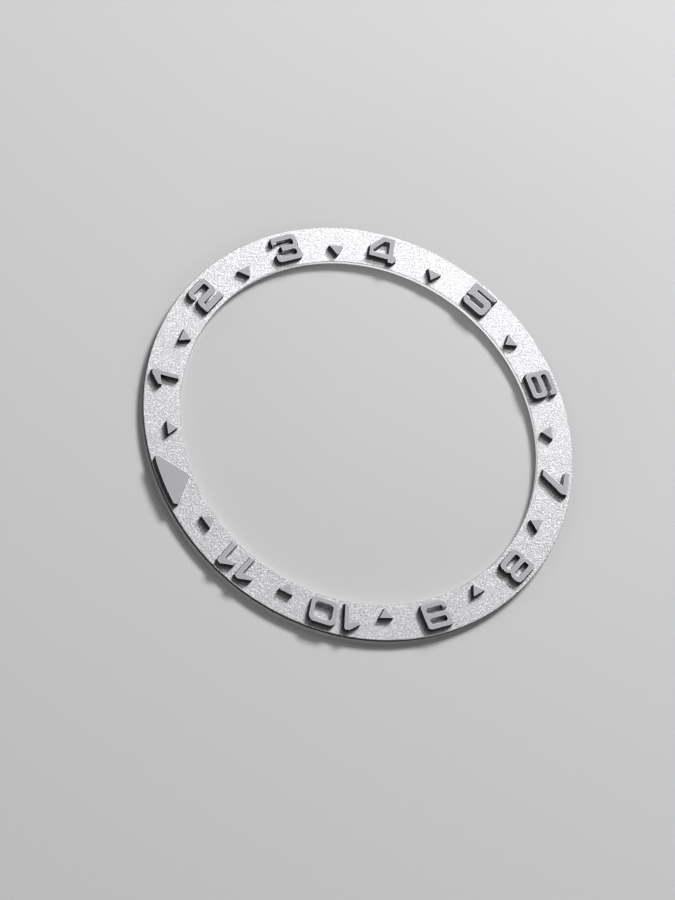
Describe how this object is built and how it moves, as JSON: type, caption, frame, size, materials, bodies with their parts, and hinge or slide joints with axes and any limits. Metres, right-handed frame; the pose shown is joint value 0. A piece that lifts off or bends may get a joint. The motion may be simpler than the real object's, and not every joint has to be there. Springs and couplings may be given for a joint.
{
  "type": "watch bezel ring",
  "caption": "Flat annular bezel insert for a watch, with raised hour numerals, a large triangle at twelve and small half-hour triangles.",
  "frame": {"origin": "centre of the ring, on the underside of the bonding tape", "axes": "+Z out of the face that carries the markers, +Y towards twelve o'clock, +X towards three o'clock"},
  "size_m": [0.038, 0.038, 0.0009],
  "materials": {
    "frosted_plate": "bead-blasted, fine random grain",
    "marker": "satin grey tops, near-black glossy sides",
    "tape": "matt foam tape"
  },
  "bodies": {
    "root": {"ring_plate": "frosted_plate", "bonding_tape": "tape", "numeral_1": "marker", "numeral_2": "marker", "numeral_3": "marker", "numeral_4": "marker", "numeral_5": "marker", "numeral_6": "marker", "numeral_7": "marker", "numeral_8": "marker", "numeral_9": "marker", "numeral_10_one": "marker", "numeral_10_zero": "marker", "numeral_11_left": "marker", "numeral_11_right": "marker", "triangle_12": "marker", "half_hour_triangle_12_30": "marker", "half_hour_triangle_1_30": "marker", "half_hour_triangle_2_30": "marker", "half_hour_triangle_3_30": "marker", "half_hour_triangle_4_30": "marker", "half_hour_triangle_5_30": "marker", "half_hour_triangle_6_30": "marker", "half_hour_triangle_7_30": "marker", "half_hour_triangle_8_30": "marker", "half_hour_triangle_9_30": "marker", "half_hour_triangle_10_30": "marker", "half_hour_triangle_11_30": "marker"}
  },
  "joints": []
}
